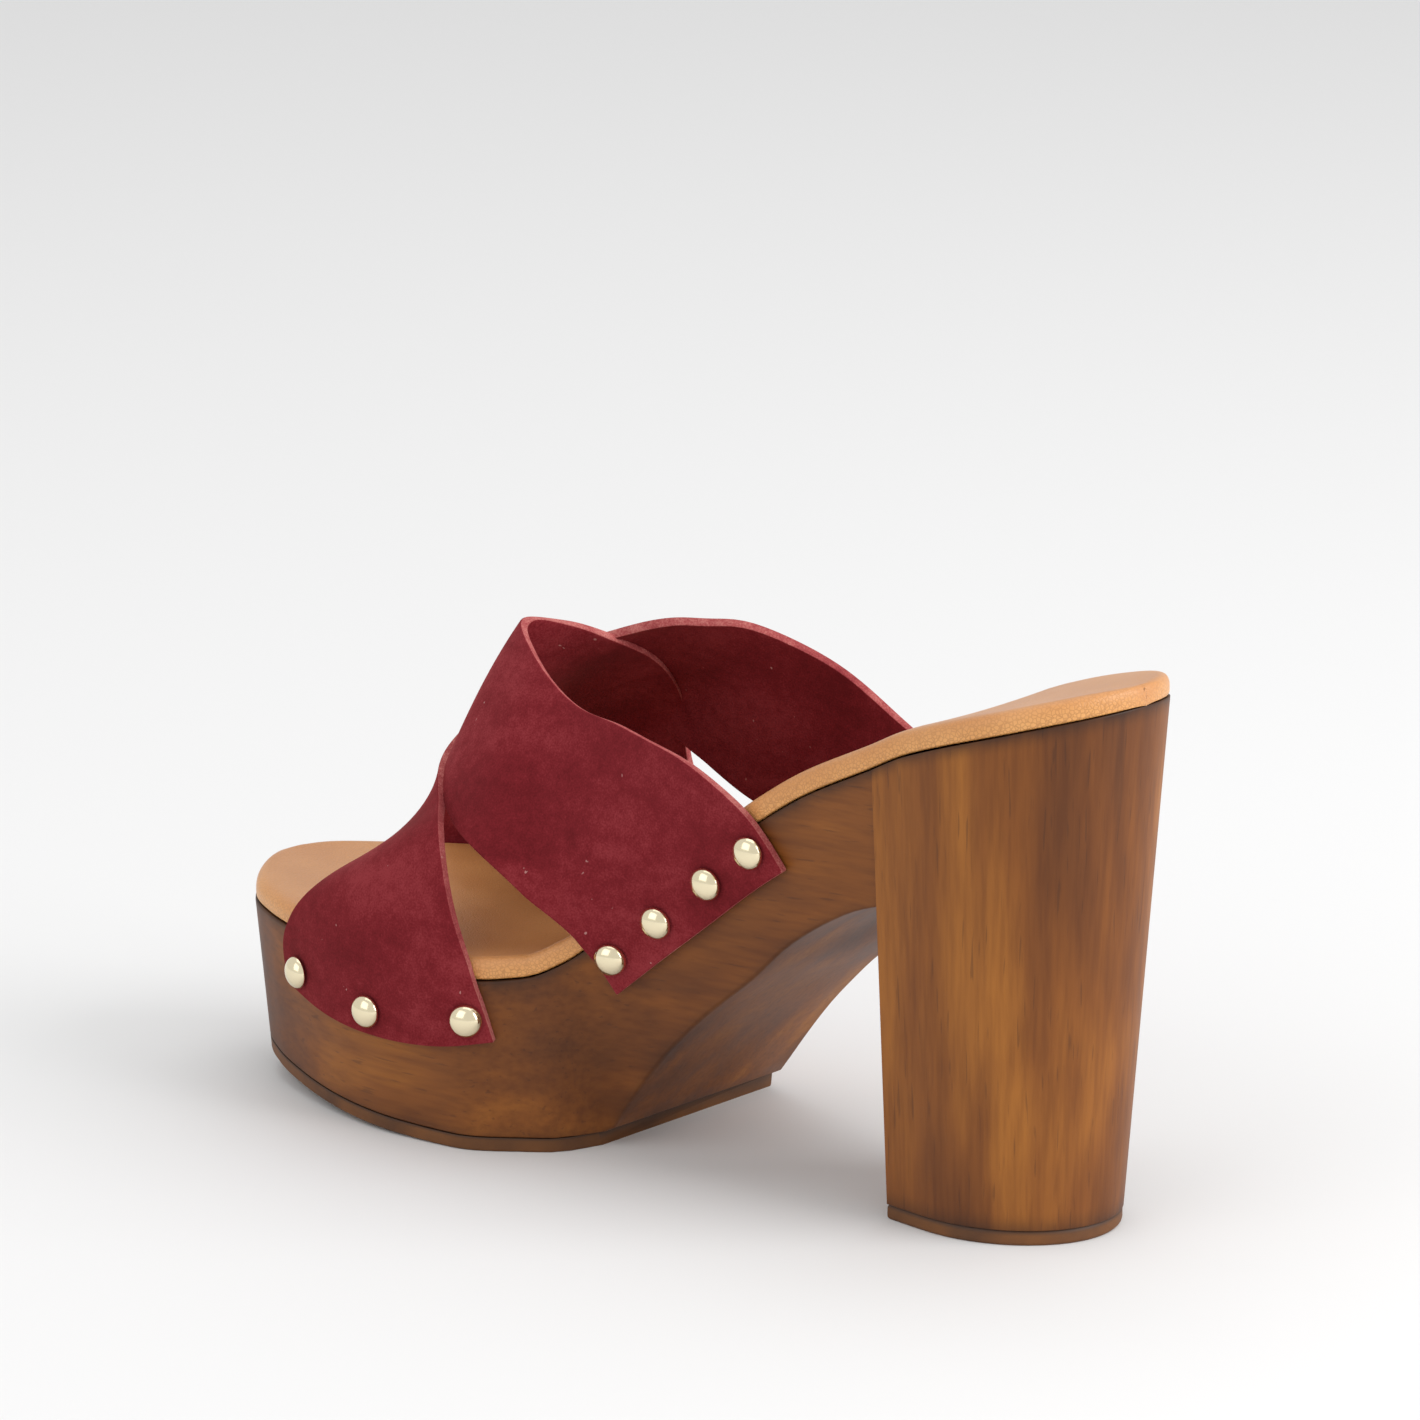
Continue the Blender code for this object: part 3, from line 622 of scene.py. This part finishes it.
def suede_strap(name, grid, studs, creases, face, cut):
    """A strap cut from 2 mm suede: a bent sheet, thickened, with its raw edge softened."""
    rows, columns = len(grid), len(grid[0])
    bpy.ops.object.select_all(action="DESELECT")
    bpy.ops.mesh.primitive_grid_add(x_subdivisions=columns - 1, y_subdivisions=rows - 1, size=2)
    made = named(name, face, cut)
    for vertex in made.data.vertices:
        j = round((vertex.co.x + 1) / 2 * (columns - 1))
        i = round((vertex.co.y + 1) / 2 * (rows - 1))
        vertex.co = grid[i][j]
    wake(made)
    bpy.ops.object.mode_set(mode="EDIT")
    bpy.ops.mesh.select_all(action="SELECT")
    bpy.ops.mesh.flip_normals()
    bpy.ops.object.mode_set(mode="OBJECT")
    apply(made, "SUBSURF", levels=2, render_levels=2, boundary_smooth="PRESERVE_CORNERS")
    normals = [vertex.normal.copy() for vertex in made.data.vertices]
    for vertex, normal in zip(made.data.vertices, normals):
        vertex.co = pressed(vertex.co.copy(), normal, studs, creases)
    apply(made, "SOLIDIFY", thickness=STRAP_THICKNESS, offset=0.0, use_even_offset=True,
          material_offset_rim=1)
    apply(made, "BEVEL", width=CUT_ROUND, segments=3, limit_method="ANGLE",
          angle_limit=math.radians(50))
    wake(made)
    bpy.ops.object.shade_smooth_by_angle(angle=math.radians(60))
    return made


def brass_stud(name, grid, centre, out, finish):
    """A domed nail head: a ball cut in half, flattened, with its rim turned in."""
    hit = strap_tree(grid).ray_cast(centre + out * STUD_DIAMETER, -out, 3 * STUD_DIAMETER)[0]
    foot = (hit if hit else centre) + out * (STRAP_THICKNESS / 2 - STUD_DENT)
    bpy.ops.object.select_all(action="DESELECT")
    bpy.ops.mesh.primitive_uv_sphere_add(segments=40, ring_count=24, radius=STUD_DIAMETER / 2)
    made = named(name, finish)
    bpy.ops.object.mode_set(mode="EDIT")
    bpy.ops.mesh.select_all(action="SELECT")
    bpy.ops.mesh.bisect(plane_co=(0, 0, 0), plane_no=(0, 0, 1), use_fill=True, clear_inner=True)
    bpy.ops.mesh.select_all(action="SELECT")
    bpy.ops.transform.resize(value=(1, 1, STUD_HEIGHT / STUD_DIAMETER * 2))
    bpy.ops.object.mode_set(mode="OBJECT")
    apply(made, "BEVEL", width=STUD_RIM, segments=3, limit_method="ANGLE",
          angle_limit=math.radians(40))
    turn = out.to_track_quat("Z", "Y").to_matrix().to_4x4()
    turn.translation = foot
    made.data.transform(turn)
    wake(made)
    bpy.ops.object.shade_smooth_by_angle(angle=math.radians(50))
    return made


# Materials

def colour(hex_code):
    """An sRGB hex value as linear red, green, blue and alpha."""
    parts = [int(hex_code[i:i + 2], 16) / 255 for i in (1, 3, 5)]
    return tuple(c / 12.92 if c <= 0.04045 else ((c + 0.055) / 1.055) ** 2.4
                 for c in parts) + (1.0,)


def add_node(tree, kind, settings=None, inputs=None, stops=(), output=0):
    """A node with its settings, its values or links, and the stops of a ramp; gives an output."""
    made = tree.nodes.new(kind)
    for key, value in (settings or {}).items():
        setattr(made, key, value)
    for key, value in (inputs or {}).items():
        if isinstance(value, bpy.types.NodeSocket):
            tree.links.new(value, made.inputs[key])
        else:
            made.inputs[key].default_value = value
    for _ in stops[2:]:
        made.color_ramp.elements.new(0.5)
    for element, (place, code) in zip(made.color_ramp.elements if stops else (), stops):
        element.position = place
        element.color = colour(code)
    return made.outputs[output]


def new_material(name, **sockets):
    """A material with values on the shader's own sockets."""
    made = bpy.data.materials.new(name)
    made.use_nodes = True
    shader = made.node_tree.nodes["Principled BSDF"]
    for key, value in sockets.items():
        shader.inputs[key.replace("_", " ")].default_value = value
    return made, made.node_tree, shader


def stained_wood(name, upright):
    """Light hardwood, stained brown by hand and waxed.

    The stain takes unevenly, so the eye sees soft bands and short dark pores
    along the grain, and corners where it has been rubbed nearly black. Across
    the grain the clouds are 40 mm wide, the bands 10 mm and the fibres 1 mm."""
    made, tree, shader = new_material(name, Specular_IOR_Level=0.30, Coat_Weight=0.06,
                                      Coat_Roughness=0.3)
    place = add_node(tree, "ShaderNodeTexCoord", output="Object")
    lie = (0.03, 0.02, 0.0) if upright else (0.0, -0.06, 0.03)
    broad = add_node(tree, "ShaderNodeMapping", inputs={
        "Vector": place, "Scale": (1, 1, 0.35) if upright else (0.45, 1, 1), "Rotation": lie})
    grain = add_node(tree, "ShaderNodeMapping", inputs={
        "Vector": place, "Scale": (1, 1, 0.06) if upright else (0.06, 1, 1), "Rotation": lie})
    clouds = add_node(tree, "ShaderNodeTexNoise", inputs={
        "Vector": broad, "Scale": 26.0, "Detail": 3.0, "Distortion": 0.6})
    bands = add_node(tree, "ShaderNodeTexNoise", inputs={
        "Vector": grain, "Scale": 95.0, "Detail": 4.0, "Distortion": 0.5})
    fibres = add_node(tree, "ShaderNodeTexNoise", inputs={
        "Vector": grain, "Scale": 850.0, "Detail": 3.0})
    pores = add_node(tree, "ShaderNodeTexNoise", inputs={
        "Vector": grain, "Scale": 1300.0, "Detail": 1.0})
    banded = add_node(tree, "ShaderNodeMath", {"operation": "MULTIPLY"}, {0: bands, 1: 0.30})
    tone = add_node(tree, "ShaderNodeMath", {"operation": "MULTIPLY_ADD"}, {
        0: clouds, 1: 0.70, 2: banded})
    stain = add_node(tree, "ShaderNodeValToRGB", inputs={0: tone}, stops=(
        (0.36, "#522b0e"), (0.45, "#6b3a11"), (0.53, "#804917"), (0.62, "#9f6222")))
    fine = add_node(tree, "ShaderNodeValToRGB", inputs={0: fibres}, stops=(
        (0.32, "#cdc2b4"), (0.60, "#ffffff")))
    stain = add_node(tree, "ShaderNodeMix", {"data_type": "RGBA", "blend_type": "MULTIPLY"},
                     {0: 0.5, 6: stain, 7: fine}, output=2)
    dashes = add_node(tree, "ShaderNodeMapRange", inputs={
        "Value": pores, "From Min": 0.66, "From Max": 0.74, "To Max": 0.35})
    stain = add_node(tree, "ShaderNodeMix", {"data_type": "RGBA"},
                     {0: dashes, 6: stain, 7: colour("#3a2010")}, output=2)
    rim = add_node(tree, "ShaderNodeAttribute", {"attribute_name": "edge"}, output="Fac")
    worn = add_node(tree, "ShaderNodeMath", {"operation": "POWER"}, {0: rim, 1: 1.6})
    patchy = add_node(tree, "ShaderNodeTexNoise", inputs={
        "Vector": place, "Scale": 160.0, "Detail": 3.0})
    patchy = add_node(tree, "ShaderNodeMath", {"operation": "MULTIPLY_ADD"}, {
        0: patchy, 1: 0.9, 2: 0.35})
    rubbed = add_node(tree, "ShaderNodeMath", {"operation": "MULTIPLY"}, {0: worn, 1: patchy})
    stain = add_node(tree, "ShaderNodeMix", {"data_type": "RGBA"},
                     {0: rubbed, 6: stain, 7: colour("#2a170b")}, output=2)
    tree.links.new(stain, shader.inputs["Base Color"])
    wax = add_node(tree, "ShaderNodeMath", {"operation": "MULTIPLY_ADD"}, {
        0: bands, 1: 0.20, 2: 0.42})
    tree.links.new(wax, shader.inputs["Roughness"])
    relief = add_node(tree, "ShaderNodeMath", {"operation": "SUBTRACT"}, {0: fibres, 1: dashes})
    bump = add_node(tree, "ShaderNodeBump", inputs={
        "Strength": 0.12, "Distance": 0.0002, "Height": relief})
    tree.links.new(bump, shader.inputs["Normal"])
    return made


def stained_rubber(name):
    """Hard rubber sheet, stained with the wood.

    It is matt and brown with a 0.6 mm grit, and dark along its glue line."""
    made, tree, shader = new_material(name, Roughness=0.6)
    place = add_node(tree, "ShaderNodeTexCoord", output="Object")
    clouds = add_node(tree, "ShaderNodeTexNoise", inputs={
        "Vector": place, "Scale": 70.0, "Detail": 4.0})
    base = add_node(tree, "ShaderNodeValToRGB", inputs={0: clouds}, stops=(
        (0.35, "#54300f"), (0.65, "#744517")))
    line = add_node(tree, "ShaderNodeAttribute", {"attribute_name": "edge"}, output="Fac")
    base = add_node(tree, "ShaderNodeMix", {"data_type": "RGBA"},
                    {0: line, 6: base, 7: colour("#38200f")}, output=2)
    tree.links.new(base, shader.inputs["Base Color"])
    grit = add_node(tree, "ShaderNodeTexNoise", inputs={
        "Vector": place, "Scale": 1800.0, "Detail": 2.0})
    bump = add_node(tree, "ShaderNodeBump", inputs={
        "Strength": 0.15, "Distance": 0.0002, "Height": grit})
    tree.links.new(bump, shader.inputs["Normal"])
    return made


def vegetable_tanned_leather(name):
    """Tan leather, satin, with pebbles 0.8 mm wide.

    The face is worn plainer, and the turned edge is paler with its pebbles clear."""
    made, tree, shader = new_material(name, Roughness=0.40, Coat_Weight=0.12, Coat_Roughness=0.35)
    place = add_node(tree, "ShaderNodeTexCoord", output="Object")
    wrap = add_node(tree, "ShaderNodeAttribute", {"attribute_name": "edge"}, output="Fac")
    clouds = add_node(tree, "ShaderNodeTexNoise", inputs={
        "Vector": place, "Scale": 30.0, "Detail": 4.0})
    face = add_node(tree, "ShaderNodeValToRGB", inputs={0: clouds}, stops=(
        (0.35, "#c4844c"), (0.65, "#d6985e")))
    turned = add_node(tree, "ShaderNodeValToRGB", inputs={0: clouds}, stops=(
        (0.35, "#d99955"), (0.65, "#e9ad68")))
    tan = add_node(tree, "ShaderNodeMix", {"data_type": "RGBA"},
                   {0: wrap, 6: face, 7: turned}, output=2)
    pebbles = add_node(tree, "ShaderNodeTexVoronoi", {"feature": "DISTANCE_TO_EDGE"}, {
        "Vector": place, "Scale": 1250.0})
    creases = add_node(tree, "ShaderNodeMapRange", inputs={
        "Value": pebbles, "From Max": 0.16, "To Min": 1.0, "To Max": 0.0})
    deep = add_node(tree, "ShaderNodeMath", {"operation": "MULTIPLY_ADD"}, {
        0: wrap, 1: 0.42, 2: 0.14})
    shade = add_node(tree, "ShaderNodeMath", {"operation": "MULTIPLY"}, {0: creases, 1: deep})
    tan = add_node(tree, "ShaderNodeMix", {"data_type": "RGBA"},
                   {0: shade, 6: tan, 7: colour("#8a5426")}, output=2)
    tree.links.new(tan, shader.inputs["Base Color"])
    bump = add_node(tree, "ShaderNodeBump", {"invert": True}, {
        "Strength": 0.35, "Distance": 0.00012, "Height": creases})
    tree.links.new(bump, shader.inputs["Normal"])
    return made


def burgundy_suede(name, shades, roughness_of_nap):
    """Split cowhide, dyed and napped: no gloss, brushed darker and lighter by hand.

    The nap gives a soft pale rim at grazing angles, and holds flecks of lint.
    Where it is cut, raw fibres show paler than the face. Brush strokes are about
    20 mm long, tufts of nap 2.5 mm and fibres 0.4 mm."""
    made, tree, shader = new_material(
        name, Roughness=0.95, Specular_IOR_Level=0.12, Sheen_Weight=0.28, Sheen_Roughness=0.4,
        Sheen_Tint=colour("#d0706c"))
    place = add_node(tree, "ShaderNodeTexCoord", output="Object")
    brushed = add_node(tree, "ShaderNodeMapping", inputs={
        "Vector": place, "Scale": (0.6, 1, 1), "Rotation": (0.2, 0.4, 0.3)})
    strokes = add_node(tree, "ShaderNodeTexNoise", inputs={
        "Vector": brushed, "Scale": 55.0, "Detail": 4.0, "Distortion": 0.8})
    nap = add_node(tree, "ShaderNodeTexNoise", inputs={
        "Vector": place, "Scale": 420.0, "Detail": 4.0})
    fuzz = add_node(tree, "ShaderNodeTexNoise", inputs={
        "Vector": place, "Scale": 2600.0, "Detail": 2.0})
    tone = add_node(tree, "ShaderNodeMath", {"operation": "MULTIPLY"}, {0: fuzz, 1: 0.30})
    tone = add_node(tree, "ShaderNodeMath", {"operation": "MULTIPLY_ADD"}, {
        0: nap, 1: 0.20, 2: tone})
    tone = add_node(tree, "ShaderNodeMath", {"operation": "MULTIPLY_ADD"}, {
        0: strokes, 1: 0.50, 2: tone})
    base = add_node(tree, "ShaderNodeValToRGB", inputs={0: tone}, stops=(
        (0.38, shades[0]), (0.50, shades[1]), (0.62, shades[2])))
    flecks = add_node(tree, "ShaderNodeMapping", inputs={
        "Vector": place, "Scale": (1, 0.5, 0.7), "Rotation": (0.7, 0.2, 0.9)})
    flecks = add_node(tree, "ShaderNodeTexNoise", inputs={
        "Vector": flecks, "Scale": 800.0, "Detail": 1.0})
    lint = add_node(tree, "ShaderNodeMapRange", inputs={
        "Value": flecks, "From Min": 0.775, "From Max": 0.80, "To Max": 0.5})
    base = add_node(tree, "ShaderNodeMix", {"data_type": "RGBA"},
                    {0: lint, 6: base, 7: colour("#cfa09a")}, output=2)
    tree.links.new(base, shader.inputs["Base Color"])
    relief = add_node(tree, "ShaderNodeMath", {"operation": "MULTIPLY_ADD"}, {
        0: fuzz, 1: 0.6, 2: nap})
    bump = add_node(tree, "ShaderNodeBump", inputs={
        "Strength": roughness_of_nap, "Distance": 0.0003, "Height": relief})
    tree.links.new(bump, shader.inputs["Normal"])
    return made


def pale_brass(name):
    """Brass plated pale gold and polished, with faint scuffs that soften the reflections."""
    made, tree, shader = new_material(name, Base_Color=colour("#f1e4c2"), Metallic=1.0)
    place = add_node(tree, "ShaderNodeTexCoord", output="Object")
    scuffs = add_node(tree, "ShaderNodeTexNoise", inputs={
        "Vector": place, "Scale": 1500.0, "Detail": 3.0})
    shine = add_node(tree, "ShaderNodeMath", {"operation": "MULTIPLY_ADD"}, {
        0: scuffs, 1: 0.14, 2: 0.09})
    tree.links.new(shine, shader.inputs["Roughness"])
    return made


def studio_floor(name):
    """Painted board, near white and matt."""
    return new_material(name, Base_Color=colour("#e9e9e9"), Roughness=0.9)[0]


# The shoe
platform_wood = stained_wood("stained_wood_lengthwise", False)
heel_wood = stained_wood("stained_wood_upright", True)
rubber = stained_rubber("stained_rubber")
leather = vegetable_tanned_leather("vegetable_tanned_leather")
suede = burgundy_suede("burgundy_suede", ("#64171d", "#761f26", "#8a3036"), 0.30)
raw_suede = burgundy_suede("burgundy_suede_cut_edge", ("#843136", "#a24e4e", "#c07670"), 0.7)
brass = pale_brass("pale_brass")

pieces = [
    (wooden_forefoot(platform_wood), "stained_wood", "sole"),
    (wooden_heel(heel_wood), "stained_wood", "heel"),
    (tread_sheet(rubber), "outsole_rubber", "outsole"),
    (heel_tread(rubber), "outsole_rubber", "heel_top_piece"),
    (padded_insole(leather), "insole_leather", "insole"),
]
lower_grid = strap_grid(INNER_REAR_LEG + UNDER + mirrored(OUTER_FRONT_LEG))
upper_grid = laid_on(strap_grid((mirrored(OUTER_REAR_LEG) + OVER + INNER_FRONT_LEG)[::-1]),
                     lower_grid, len(INNER_REAR_LEG) * STRAP_STEPS)
straps = (
    # name, grid, creases, and for both ends: name, grid from that end, studs and their edge
    ("lower_strap", lower_grid, LOWER_CREASES, (
        ("inner_rear", lower_grid, REAR_STUDS, REAR_STUD_EDGE),
        ("outer_front", lower_grid[::-1], FRONT_STUDS, FRONT_STUD_EDGE))),
    ("upper_strap", upper_grid, UPPER_CREASES, (
        ("outer_rear", upper_grid[::-1], REAR_STUDS, REAR_STUD_EDGE),
        ("inner_front", upper_grid, FRONT_STUDS, FRONT_STUD_EDGE))),
)
for name, grid, creases, ends in straps:
    seats = [(f"{end}_{number}", stud_seat(from_end, share, edge))
             for end, from_end, shares, edge in ends for number, share in enumerate(shares, 1)]
    dents = [centre for _, (centre, _) in seats]
    pieces.append((suede_strap(name, grid, dents, creases, suede, raw_suede),
                   "burgundy_suede", "upper"))
    for seat, (centre, out) in seats:
        pieces.append((brass_stud(f"nail_{seat}", grid, centre, out, brass),
                       "pale_brass", f"stud_{seat}"))
for made, slot, node in pieces:
    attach(made, "root")
    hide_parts(node)

def soft_light(name, place, size, power):
    """A square soft box that faces the shoe."""
    bpy.ops.object.light_add(type="AREA", location=place)
    lamp = bpy.context.active_object
    lamp.name = name
    lamp.data.size = size
    lamp.data.energy = power
    lamp.rotation_mode = "QUATERNION"
    lamp.rotation_quaternion = (Vector((0, 0, 0.05)) - Vector(place)).to_track_quat("-Z", "Y")


# The studio: a pale floor, soft light from all round and a camera at the photo's angle
bpy.ops.object.select_all(action="DESELECT")
bpy.ops.mesh.primitive_plane_add(size=8, location=(0, 0, 0))
floor = named("studio_floor", studio_floor("matt_white_board"))

soft_light("key_box", (1.5, 0.5, 0.8), 1.2, 20)
soft_light("fill_box", (-0.2, -1.6, 1.0), 1.4, 5)
soft_light("top_box", (-0.1, 0.3, 1.9), 1.6, 6)

world = bpy.data.worlds.new("studio")
bpy.context.scene.world = world
world.use_nodes = True
backdrop = world.node_tree.nodes["Background"]
backdrop.inputs["Color"].default_value = colour("#f4f4f4")
backdrop.inputs["Strength"].default_value = 0.85

CAMERA_PLACE = (0.7847, -0.8975, 0.3877)
AZIMUTH, ELEVATION = math.radians(41), math.radians(14)
bpy.ops.object.camera_add(location=CAMERA_PLACE)
camera = bpy.context.active_object
sight = Vector((-math.sin(AZIMUTH) * math.cos(ELEVATION),
                math.cos(AZIMUTH) * math.cos(ELEVATION), -math.sin(ELEVATION)))
camera.rotation_mode = "QUATERNION"
camera.rotation_quaternion = sight.to_track_quat("-Z", "Y")
camera.data.sensor_width = 36
camera.data.lens = 152.7
bpy.context.scene.camera = camera
bpy.context.scene.view_settings.view_transform = "Standard"
